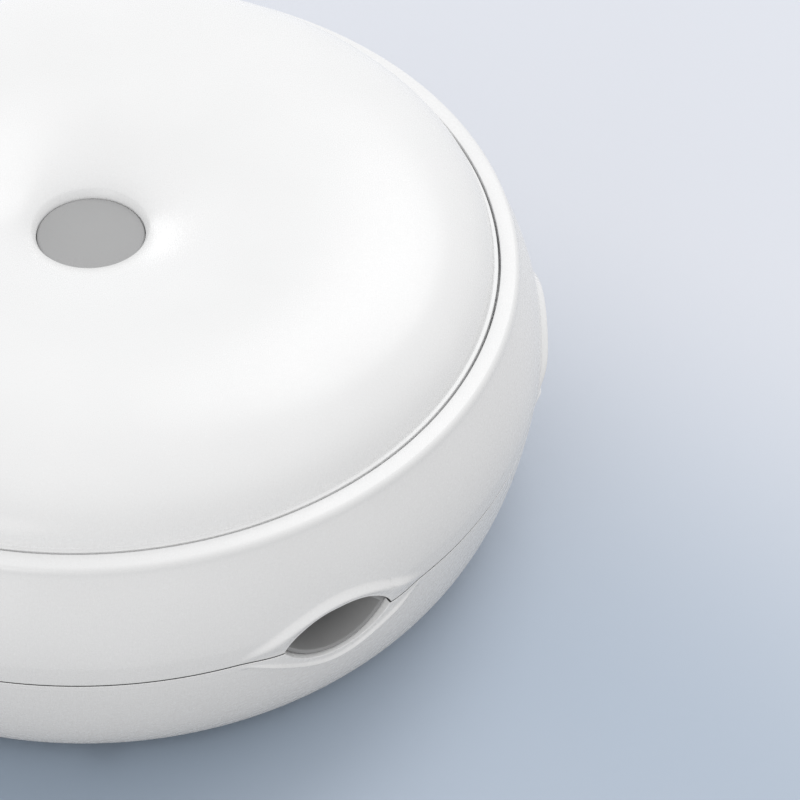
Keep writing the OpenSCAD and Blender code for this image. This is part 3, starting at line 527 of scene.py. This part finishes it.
# Front edge from outside to inside: margins from the outline of the eye, and depths behind the front
LINER_EDGE = (
    (LINER_OUT, 0.55), (LINER_OUT - 0.1, 0.22), (LINER_OUT - 0.32, 0.04), (LINER_OUT - 0.65, 0.0),
    (LINER_IN + 0.4, 0.06), (LINER_IN + 0.14, 0.25), (LINER_IN, 0.6),
)


def eye_point(s, upper, margin):
    """Point of an eye's outline; s runs from -1 to 1 between its corners."""
    r = EYE_R + margin
    a = s * math.acos(EYE_DROP / r)
    v = r * math.cos(a) - EYE_DROP
    return r * math.sin(a), v if upper else -v


def liner_section(s, upper):
    """Closed section through a liner's wall, round its front edge and back."""
    section = []
    for margin, depth in LINER_EDGE:
        u, v = eye_point(s, upper, margin)
        lean = LINER_LEAN * max(0.0, v)
        section.append((math.sqrt(LINER_FRONT_R ** 2 - u ** 2) - depth - lean, u, v + SEAM_Z))
    for margin in (LINER_IN, LINER_OUT):
        u, v = eye_point(s, upper, margin)
        section.append((math.sqrt(LINER_BACK_R ** 2 - u ** 2), u, v + SEAM_Z))
    return section


def liner_mesh(turn):
    """Sleeve as a closed round of sections along the eye's outline."""
    steps = [2 * i / LINER_STEPS - 1 for i in range(LINER_STEPS)]
    sections = [liner_section(s, True) for s in steps] + [liner_section(-s, False) for s in steps]
    bm = bmesh.new()
    made = [[bm.verts.new(Vector(p) * MM) for p in section] for section in sections]
    for section, following in zip(made, made[1:] + made[:1]):
        for i in range(len(section)):
            k = (i + 1) % len(section)
            bm.faces.new((section[i], following[i], following[k], section[k]))
    bmesh.ops.recalc_face_normals(bm, faces=bm.faces)
    bmesh.ops.rotate(bm, verts=bm.verts, cent=(0, 0, 0), matrix=Matrix.Rotation(turn, 3, "Z"))
    return bm


for port in range(PORTS):
    liner = as_object(f"liner_{port + 1}", liner_mesh(2 * math.pi * port / PORTS))
    finish_piece(liner, "casing", "liner", f"port_liner_{port + 1}")

# Feathers: a tapered quill with rows of flat barbs on both sides
FEATHER_FAN = math.radians(5)
FEATHER_HALF_W = 4.75
FEATHER_ARCH = 0.3
FEATHER_DROOP = 0.012
FEATHER_END_GAP = 0.3
FEATHER_SEED = 41
BARE_QUILL = 4.0
QUILL_TAPER = 0.48
QUILL_TIP_R = 0.08
QUILL_REACH = 0.985
QUILL_RINGS = 24
QUILL_SIDES = 8
BARBS = 120
BARB_W = 0.46
BARB_T = 0.1
BARB_TAPER = 0.75
BARB_BEND = 0.07
BARB_STEPS = 6
BARB_LEAN = 36
# Chance and turn of a split in the vane, the downy share of its length and how much further its barbs lean
SPLIT_CHANCE = 0.06
SPLIT_TURN = 0.09
DOWNY_SHARE = 0.16
DOWNY_LEAN = 22


def feather_half(x, length):
    """Half width of the vane at a distance from the quill's root."""
    t = min(1.0, max(0.0, (x - BARE_QUILL) / (length - BARE_QUILL)))
    return 0.3 + FEATHER_HALF_W * math.sin(math.pi * t ** 0.75) ** 0.8


def camber(x, y, length):
    """Height of the vane: arched along the quill and drooping to its edges."""
    return FEATHER_ARCH * math.sin(math.pi * x / length) - FEATHER_DROOP * y * y


def add_tube(bm, rings):
    """Tube through rings of points, closed at both ends."""
    made = [[bm.verts.new(Vector(p) * MM) for p in ring] for ring in rings]
    sides = len(made[0])
    for ring, following in zip(made, made[1:]):
        for i in range(sides):
            k = (i + 1) % sides
            bm.faces.new((ring[i], ring[k], following[k], following[i]))
    bm.faces.new(list(reversed(made[0])))
    bm.faces.new(made[-1])


def add_quill(bm, length):
    """Tapered quill along X, a little flatter than round."""
    rings = []
    for i in range(QUILL_RINGS + 1):
        t = i / QUILL_RINGS
        x = t * length * QUILL_REACH
        r = QUILL_TAPER * (1 - t) + QUILL_TIP_R
        ring = []
        for k in range(QUILL_SIDES):
            a = 2 * math.pi * k / QUILL_SIDES
            ring.append((x, r * math.cos(a), camber(x, 0, length) + 0.8 * r * math.sin(a)))
        rings.append(ring)
    add_tube(bm, rings)


def add_barb(bm, x, side, length, lean, reach, lift):
    """One barb from the quill at x, leaning towards the tip, out to the vane's edge."""
    y = 1.0
    for _ in range(8):
        y = feather_half(x + y / math.tan(lean), length) * reach
    root, tip = Vector((x, 0)), Vector((min(length, x + y / math.tan(lean)), side * y))
    bend = root.lerp(tip, 0.5) + Vector((-BARB_BEND * y, side * BARB_BEND * y))
    line = bezier([root, bend, tip], BARB_STEPS)
    rings = []
    for i, p in enumerate(line):
        t = i / BARB_STEPS
        along = (line[min(i + 1, BARB_STEPS)] - line[max(i - 1, 0)]).normalized()
        across = Vector((-along.y, along.x)) * BARB_W * (1 - BARB_TAPER * t ** 3) / 2
        z = camber(p.x, p.y, length) + lift * t
        ring = [(p.x + across.x, p.y + across.y, z), (p.x, p.y, z + BARB_T / 2)]
        ring += [(p.x - across.x, p.y - across.y, z), (p.x, p.y, z - BARB_T / 2)]
        rings.append(ring)
    add_tube(bm, rings)


def feather_mesh(length, rng):
    """Feather along X with its root at the origin."""
    bm = bmesh.new()
    add_quill(bm, length)
    for side in (1, -1):
        lean_drift = 0.0
        for i in range(BARBS):
            x = BARE_QUILL + (length - BARE_QUILL - 0.6) * (i + 0.5) / BARBS
            if rng.random() < SPLIT_CHANCE:
                lean_drift = rng.uniform(-SPLIT_TURN, SPLIT_TURN)
            downy = 1 - smooth(0, DOWNY_SHARE, i / BARBS)
            lean = math.radians(BARB_LEAN + DOWNY_LEAN * downy) + lean_drift
            lean += rng.uniform(-0.02, 0.02) * (1 + 6 * downy)
            reach = rng.uniform(0.94, 1.0) - 0.15 * downy * rng.random()
            lift = rng.uniform(-0.08, 0.08) + downy * rng.uniform(-0.5, 0.5)
            add_barb(bm, x, side, length, lean, reach, lift)
    bmesh.ops.recalc_face_normals(bm, faces=bm.faces)
    return bm


FEATHER_ROOT_X, FEATHER_TIP_X = (corner[0] for corner in in_mm("feather_middle"))
FEATHER_LENGTH = FEATHER_TIP_X - FEATHER_ROOT_X - FEATHER_END_GAP
for number, (side, fan) in enumerate((("left", 1), ("middle", 0), ("right", -1))):
    low, high = in_mm(f"feather_{side}")
    root = Vector((FEATHER_ROOT_X, 0, (low[2] + high[2]) / 2)) * MM
    bm = feather_mesh(FEATHER_LENGTH, random.Random(FEATHER_SEED + number))
    bmesh.ops.rotate(bm, verts=bm.verts, cent=(0, 0, 0), matrix=Matrix.Rotation(fan * FEATHER_FAN, 3, "Z"))
    bmesh.ops.translate(bm, verts=bm.verts, vec=root)
    finish_piece(as_object(f"plume_{side}", bm), "wand", "feather", f"feather_{side}")

# Spring under the button, as a fixed coil the length of the imported spring
SPRING_WIRE_R = 0.4
SPRING_TURNS = 4
SPRING_STEPS = 40
SPRING_SIDES = 10


def spring_mesh(low, high):
    """Coil between two heights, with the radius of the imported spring."""
    coil_r = in_mm("button_spring")[1][0] - SPRING_WIRE_R
    bottom, top = low + SPRING_WIRE_R, high - SPRING_WIRE_R
    rings = []
    for i in range(SPRING_TURNS * SPRING_STEPS + 1):
        a = 2 * math.pi * i / SPRING_STEPS
        z = bottom + (top - bottom) * i / (SPRING_TURNS * SPRING_STEPS)
        ring = []
        for k in range(SPRING_SIDES):
            b = 2 * math.pi * k / SPRING_SIDES
            r = coil_r + SPRING_WIRE_R * math.cos(b)
            ring.append((r * math.cos(a), r * math.sin(a), z + SPRING_WIRE_R * math.sin(b)))
        rings.append(ring)
    bm = bmesh.new()
    add_tube(bm, rings)
    bmesh.ops.recalc_face_normals(bm, faces=bm.faces)
    return bm


SPRING_LOW, SPRING_HIGH = (corner[2] for corner in in_mm("button_spring"))
button_coil = as_object("button_coil", spring_mesh(SPRING_LOW, SPRING_HIGH))
finish_piece(button_coil, "casing", "steel", "button_spring")
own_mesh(button_coil)


# Materials
def noise(tree, scale, detail=3.0, stretch=(1, 1, 1)):
    """Noise in the part's own metres; scale is the number of grains in a metre."""
    coordinates = tree.nodes.new("ShaderNodeTexCoord")
    mapping = tree.nodes.new("ShaderNodeMapping")
    mapping.inputs["Scale"].default_value = stretch
    texture = tree.nodes.new("ShaderNodeTexNoise")
    texture.inputs["Scale"].default_value = scale
    texture.inputs["Detail"].default_value = detail
    tree.links.new(coordinates.outputs["Object"], mapping.inputs["Vector"])
    tree.links.new(mapping.outputs["Vector"], texture.inputs["Vector"])
    return texture.outputs["Fac"]


def axis_of(tree, space, axis):
    """Place along one axis, in the part's own metres (Object) or as a share of its box (Generated)."""
    place = tree.nodes.new("ShaderNodeTexCoord")
    axes = tree.nodes.new("ShaderNodeSeparateXYZ")
    tree.links.new(place.outputs[space], axes.inputs["Vector"])
    return axes.outputs[axis]


def mixed(tree, factor, first, second):
    """Colour between two colours or sockets."""
    mix = tree.nodes.new("ShaderNodeMix")
    mix.data_type = "RGBA"
    tree.links.new(factor, mix.inputs["Factor"])
    for socket, colour in ((mix.inputs[6], first), (mix.inputs[7], second)):
        if isinstance(colour, tuple):
            socket.default_value = colour
        else:
            tree.links.new(colour, socket)
    return mix.outputs[2]


def tint(tree, source, target, stops):
    """Colours a number by stops of place and colour, and gives the ramp back."""
    ramp = tree.nodes.new("ShaderNodeValToRGB")
    elements = ramp.color_ramp.elements
    while len(elements) < len(stops):
        elements.new(0.5)
    for element, (place, colour) in zip(elements, stops):
        element.position = place
        element.color = (*colour, 1)
    tree.links.new(source, ramp.inputs["Fac"])
    tree.links.new(ramp.outputs["Color"], target)
    return ramp.color_ramp


def spread(tree, source, target, low, high):
    """Sets a number between low and high by noise."""
    reach = tree.nodes.new("ShaderNodeMapRange")
    reach.inputs["From Min"].default_value = 0.3
    reach.inputs["From Max"].default_value = 0.7
    reach.inputs["To Min"].default_value = low
    reach.inputs["To Max"].default_value = high
    tree.links.new(source, reach.inputs["Value"])
    tree.links.new(reach.outputs["Result"], target)


def relief(tree, source, shader, depth_mm, strength=1.0):
    """Fine relief of a depth in millimetres."""
    bump = tree.nodes.new("ShaderNodeBump")
    bump.inputs["Strength"].default_value = strength
    bump.inputs["Distance"].default_value = depth_mm * MM
    tree.links.new(source, bump.inputs["Height"])
    tree.links.new(bump.outputs["Normal"], shader.inputs["Normal"])


def new_material(name, **sockets):
    """Material, its node tree and its shader, with numbers set on the shader's sockets."""
    material = bpy.data.materials.new(name)
    material.use_nodes = True
    shader = material.node_tree.nodes["Principled BSDF"]
    for socket, value in sockets.items():
        shader.inputs[socket.replace("_", " ")].default_value = value
    return material, material.node_tree, shader


def shade(colour, factor):
    """Colour made darker or lighter."""
    return tuple(min(1.0, c * factor) for c in colour)


# Coarse clouds in a colour, in grains to the metre
CLOUD_GRAIN = 45


def finish_of(name, colour, mottle, rough, grain, depth_mm, stretch=(1, 1, 1), **sockets):
    """A finish with a cloudy colour, uneven gloss and a fine grain; grain is in grains to the metre."""
    material, tree, shader = new_material(name, **sockets)
    cloudy = [(0.3, shade(colour, 1 - mottle)), (0.7, shade(colour, 1 + mottle))]
    tint(tree, noise(tree, CLOUD_GRAIN, 4), shader.inputs["Base Color"], cloudy)
    spread(tree, noise(tree, grain / 4, 4, stretch), shader.inputs["Roughness"], rough[0], rough[1])
    relief(tree, noise(tree, grain, 2, stretch), shader, depth_mm)
    return material


# Painted shade in the seam: how far it reaches out of the gap, in millimetres, and its colour
SEAM_PAINTED_SHADE_REACH = 0.03
SEAM_PAINTED_SHADE_COLOUR = (0.09, 0.09, 0.09, 1)


def casing_finish():
    """White moulded plastic, dark in the seam between the shells, where no light gets in."""
    white = (0.90, 0.90, 0.90)
    material = finish_of("casing", white, 0.01, (0.24, 0.30), 2600, 0.0012, Specular_IOR_Level=0.5)
    tree = material.node_tree
    # Painted shade: the colour turns dark within the seam's band of height, where the gap between the shells
    # lies in shade
    inside = tree.nodes.new("ShaderNodeMath")
    inside.operation = "COMPARE"
    inside.inputs[1].default_value = SEAM_Z * MM
    inside.inputs[2].default_value = (SEAM_HALF + SEAM_PAINTED_SHADE_REACH) * MM
    tree.links.new(axis_of(tree, "Object", "Z"), inside.inputs[0])
    colour = tree.nodes["Principled BSDF"].inputs["Base Color"]
    plain = colour.links[0].from_socket
    tree.links.new(mixed(tree, inside.outputs[0], plain, SEAM_PAINTED_SHADE_COLOUR), colour)
    return material


def cell_finish(name, forward):
    """Dark sleeve with a copper-coloured end towards the tip."""
    material, tree, shader = new_material(name, Metallic=0.55, Specular_IOR_Level=0.5)
    dark, copper, tin = (0.035, 0.037, 0.042), (0.62, 0.30, 0.13), (0.7, 0.7, 0.7)
    stops = [(0.0, tin), (0.012, dark), (0.66, copper), (0.968, tin)]
    if not forward:
        stops = [(0.0, tin), (0.032, copper), (0.34, dark), (0.988, tin)]
    bands = tint(tree, axis_of(tree, "Generated", "X"), shader.inputs["Base Color"], stops)
    bands.interpolation = "CONSTANT"
    spread(tree, noise(tree, 900, 3), shader.inputs["Roughness"], 0.22, 0.34)
    relief(tree, noise(tree, 1500, 2), shader, 0.004)
    return material


def feather_finish():
    """Pale down at the root, warm barred vane and a dark tip."""
    material, tree, shader = new_material(
        "feather", Sheen_Weight=0.35, Sheen_Roughness=0.4, Specular_IOR_Level=0.3
    )
    along = tree.nodes.new("ShaderNodeMapRange")
    along.inputs["From Min"].default_value = FEATHER_ROOT_X * MM
    along.inputs["From Max"].default_value = FEATHER_TIP_X * MM
    tree.links.new(axis_of(tree, "Object", "X"), along.inputs["Value"])
    wobble = tree.nodes.new("ShaderNodeMath")
    wobble.operation = "MULTIPLY_ADD"
    tree.links.new(noise(tree, 260, 4), wobble.inputs[0])
    wobble.inputs[1].default_value = 0.16
    tree.links.new(along.outputs["Result"], wobble.inputs[2])
    tint(tree, wobble.outputs[0], shader.inputs["Base Color"], [
        (0.10, (0.72, 0.66, 0.56)), (0.24, (0.55, 0.33, 0.16)), (0.50, (0.62, 0.25, 0.06)),
        (0.80, (0.50, 0.15, 0.03)), (0.98, (0.07, 0.035, 0.025)),
    ])
    spread(tree, noise(tree, 1200, 3), shader.inputs["Roughness"], 0.45, 0.65)
    relief(tree, noise(tree, 2600, 2, (0.3, 1, 1)), shader, 0.02)
    return material


def board_finish():
    """Green lacquer over faint tracks."""
    material, tree, shader = new_material("board", Coat_Weight=0.3, Coat_Roughness=0.2)
    place = tree.nodes.new("ShaderNodeTexCoord")
    tracks = tree.nodes.new("ShaderNodeTexBrick")
    tracks.inputs["Scale"].default_value = 160
    tracks.inputs["Mortar Size"].default_value = 0.03
    tracks.inputs["Color1"].default_value = (0.012, 0.10, 0.045, 1)
    tracks.inputs["Color2"].default_value = (0.016, 0.13, 0.055, 1)
    tracks.inputs["Mortar"].default_value = (0.03, 0.21, 0.09, 1)
    tree.links.new(place.outputs["Object"], tracks.inputs["Vector"])
    tree.links.new(tracks.outputs["Color"], shader.inputs["Base Color"])
    spread(tree, noise(tree, 700, 3), shader.inputs["Roughness"], 0.3, 0.45)
    relief(tree, tracks.outputs["Fac"], shader, 0.03, 0.6)
    return material


# Name, colour, mottle, roughness from and to, grains to the metre and their depth in millimetres
MATERIALS = {
    "casing": casing_finish(),
    "button": finish_of(
        "button", (0.41, 0.41, 0.41), 0.02, (0.42, 0.5), 2600, 0.008, Specular_IOR_Level=0.4
    ),
    "liner": finish_of(
        "liner", (0.34, 0.34, 0.34), 0.04, (0.4, 0.5), 2400, 0.01, Specular_IOR_Level=0.4
    ),
    "black_plastic": finish_of("black_plastic", (0.02, 0.02, 0.022), 0.1, (0.4, 0.55), 2400, 0.01),
    "board": board_finish(),
    "steel": finish_of(
        "steel", (0.56, 0.57, 0.58), 0.06, (0.24, 0.38), 900, 0.004, (1, 1, 8), Metallic=1.0
    ),
    "gear_plastic": finish_of(
        "gear_plastic", (0.72, 0.70, 0.64), 0.03, (0.35, 0.48), 2000, 0.008,
        Subsurface_Weight=0.08, Subsurface_Scale=0.002,
    ),
    "drum": finish_of("drum", (0.15, 0.15, 0.155), 0.05, (0.42, 0.55), 2200, 0.012),
    "brass": finish_of(
        "brass", (0.70, 0.50, 0.20), 0.07, (0.22, 0.36), 900, 0.004, (1, 1, 8), Metallic=1.0
    ),
    "feather": feather_finish(),
    "rubber": finish_of(
        "rubber", (0.022, 0.022, 0.023), 0.15, (0.65, 0.8), 1800, 0.03, Specular_IOR_Level=0.3
    ),
}
CELLS = {f"battery_{i}": cell_finish(f"cell_{i}", i % 2 == 1) for i in range(1, 5)}
SLOT_OF = {part["node"]: part["material_slot"] for part in frame["record"]["subparts"]}
for name, node in frame["nodes"].items():
    node.data.materials.clear()
    node.data.materials.append(CELLS.get(name) or MATERIALS[SLOT_OF[name]])
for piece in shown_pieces():
    if "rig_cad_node" not in piece:
        piece.data.materials.clear()
        piece.data.materials.append(MATERIALS[piece["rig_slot"]])


# Floor, world and lamps
def seen_directly(tree):
    """1 for rays from the camera and for mirrored or refracted ones, else 0."""
    path = tree.nodes.new("ShaderNodeLightPath")
    total = None
    for ray in ("Is Camera Ray", "Is Glossy Ray", "Is Transmission Ray"):
        if total is None:
            total = path.outputs[ray]
            continue
        largest = tree.nodes.new("ShaderNodeMath")
        largest.operation = "MAXIMUM"
        tree.links.new(total, largest.inputs[0])
        tree.links.new(path.outputs[ray], largest.inputs[1])
        total = largest.outputs[0]
    return total


FLOOR_HALF = 6.0
FLOOR_CELLS = 24
FLOOR_BOUNCE = (0.42, 0.42, 0.42, 1)
FLOOR_PALE = (0.75, 0.775, 0.838, 1)
FLOOR_BLUE = (0.50, 0.575, 0.68, 1)
FLOOR_PAINTED_SHADOW = (0.34, 0.41, 0.50, 1)
# Soft rounds of colour on the floor, the second a painted shadow: middle, and distances at which they start
# and stop fading, in metres
BLUE_ROUND = ((0.0, -0.25, 0.0), 0.19, 0.37)
PAINTED_SHADOW_ROUND = ((-0.03, -0.04, 0.0), 0.07, 0.13)


def faded(tree, place, round_of, inner, outer):
    """Colour that is inner in the middle of a round and fades to the outer colour or socket round it."""
    middle, start, stop = round_of
    distance = tree.nodes.new("ShaderNodeVectorMath")
    distance.operation = "DISTANCE"
    distance.inputs[1].default_value = middle
    tree.links.new(place, distance.inputs[0])
    reach = tree.nodes.new("ShaderNodeMapRange")
    reach.interpolation_type = "SMOOTHSTEP"
    reach.inputs["From Min"].default_value = start
    reach.inputs["From Max"].default_value = stop
    tree.links.new(distance.outputs["Value"], reach.inputs["Value"])
    return mixed(tree, reach.outputs["Result"], inner, outer)


def add_floor():
    """Pale floor with a soft blue round before the part and a painted shadow, a darker round, under it."""
    bm = bmesh.new()
    bmesh.ops.create_grid(bm, x_segments=FLOOR_CELLS, y_segments=FLOOR_CELLS, size=FLOOR_HALF)
    floor = as_object("floor", bm)
    material, tree, shader = new_material("floor", Roughness=0.75, Specular_IOR_Level=0.1)
    place = tree.nodes.new("ShaderNodeTexCoord").outputs["Object"]
    colour = faded(tree, place, BLUE_ROUND, FLOOR_BLUE, FLOOR_PALE)
    # Painted shadow: a darker round on the floor under the part and towards its front left
    colour = faded(tree, place, PAINTED_SHADOW_ROUND, FLOOR_PAINTED_SHADOW, colour)
    colour = mixed(tree, seen_directly(tree), FLOOR_BOUNCE, colour)
    tree.links.new(colour, shader.inputs["Base Color"])
    relief(tree, noise(tree, 800, 3), shader, 0.01)
    floor.data.materials.append(material)


WORLD_LIGHT = 0.8
WORLD_SEEN = (0.78, 0.81, 0.86, 1)


def add_world():
    """Even white light, and a pale background where it is seen."""
    world = bpy.data.worlds.new("studio")
    world.use_nodes = True
    tree = world.node_tree
    light = tree.nodes["Background"]
    light.inputs["Color"].default_value = (1, 1, 1, 1)
    light.inputs["Strength"].default_value = WORLD_LIGHT
    seen = tree.nodes.new("ShaderNodeBackground")
    seen.inputs["Color"].default_value = WORLD_SEEN
    mix = tree.nodes.new("ShaderNodeMixShader")
    tree.links.new(seen_directly(tree), mix.inputs["Fac"])
    tree.links.new(light.outputs["Background"], mix.inputs[1])
    tree.links.new(seen.outputs["Background"], mix.inputs[2])
    tree.links.new(mix.outputs["Shader"], tree.nodes["World Output"].inputs["Surface"])
    bpy.context.scene.world = world


CENTRE = Vector((0, 0, 0.045))
LAMP_SIZE = 1.2
# Place in metres and power in watts
LAMPS = {
    "key": ((0.64, 1.11, 1.58), 8.4),
    "back": ((-0.98, 1.69, 0.46), 7.0),
    "fill": ((-0.98, -1.69, 0.46), 5.5),
}


def add_lamp(name, place, power):
    """Large round lamp aimed at the part's middle."""
    data = bpy.data.lights.new(name, "AREA")
    data.shape = "DISK"
    data.size = LAMP_SIZE
    data.energy = power
    lamp = bpy.data.objects.new(name, data)
    bpy.context.scene.collection.objects.link(lamp)
    lamp.visible_camera = False
    lamp.location = place
    lamp.rotation_euler = (CENTRE - Vector(place)).to_track_quat("-Z", "Y").to_euler()


add_floor()
add_world()
for lamp_name, (lamp_place, lamp_power) in LAMPS.items():
    add_lamp(lamp_name, lamp_place, lamp_power)

# Camera at the photograph's viewing angle
CAMERA_PLACE = Vector((0.0192, -0.6107, 0.6343))
CAMERA_YAW = math.radians(5.30)
CAMERA_PITCH = math.radians(45.25)
CAMERA_ROLL = math.radians(-2.01)
CAMERA_LENS = 154.48


def add_camera():
    """Camera turned by its yaw, pitch and roll."""
    forward = Vector((
        math.sin(CAMERA_YAW) * math.cos(CAMERA_PITCH),
        math.cos(CAMERA_YAW) * math.cos(CAMERA_PITCH),
        -math.sin(CAMERA_PITCH),
    ))
    level = forward.cross(Vector((0, 0, 1))).normalized()
    down = forward.cross(level)
    right = math.cos(CAMERA_ROLL) * level + math.sin(CAMERA_ROLL) * down
    down = -math.sin(CAMERA_ROLL) * level + math.cos(CAMERA_ROLL) * down
    data = bpy.data.cameras.new("camera")
    data.lens = CAMERA_LENS
    data.clip_start = 0.01
    data.clip_end = 50
    camera = bpy.data.objects.new("camera", data)
    bpy.context.scene.collection.objects.link(camera)
    turn = Matrix((right, -down, -forward)).transposed().to_4x4()
    camera.matrix_world = Matrix.Translation(CAMERA_PLACE) @ turn
    bpy.context.scene.camera = camera


add_camera()
bpy.context.scene.view_settings.view_transform = "Standard"
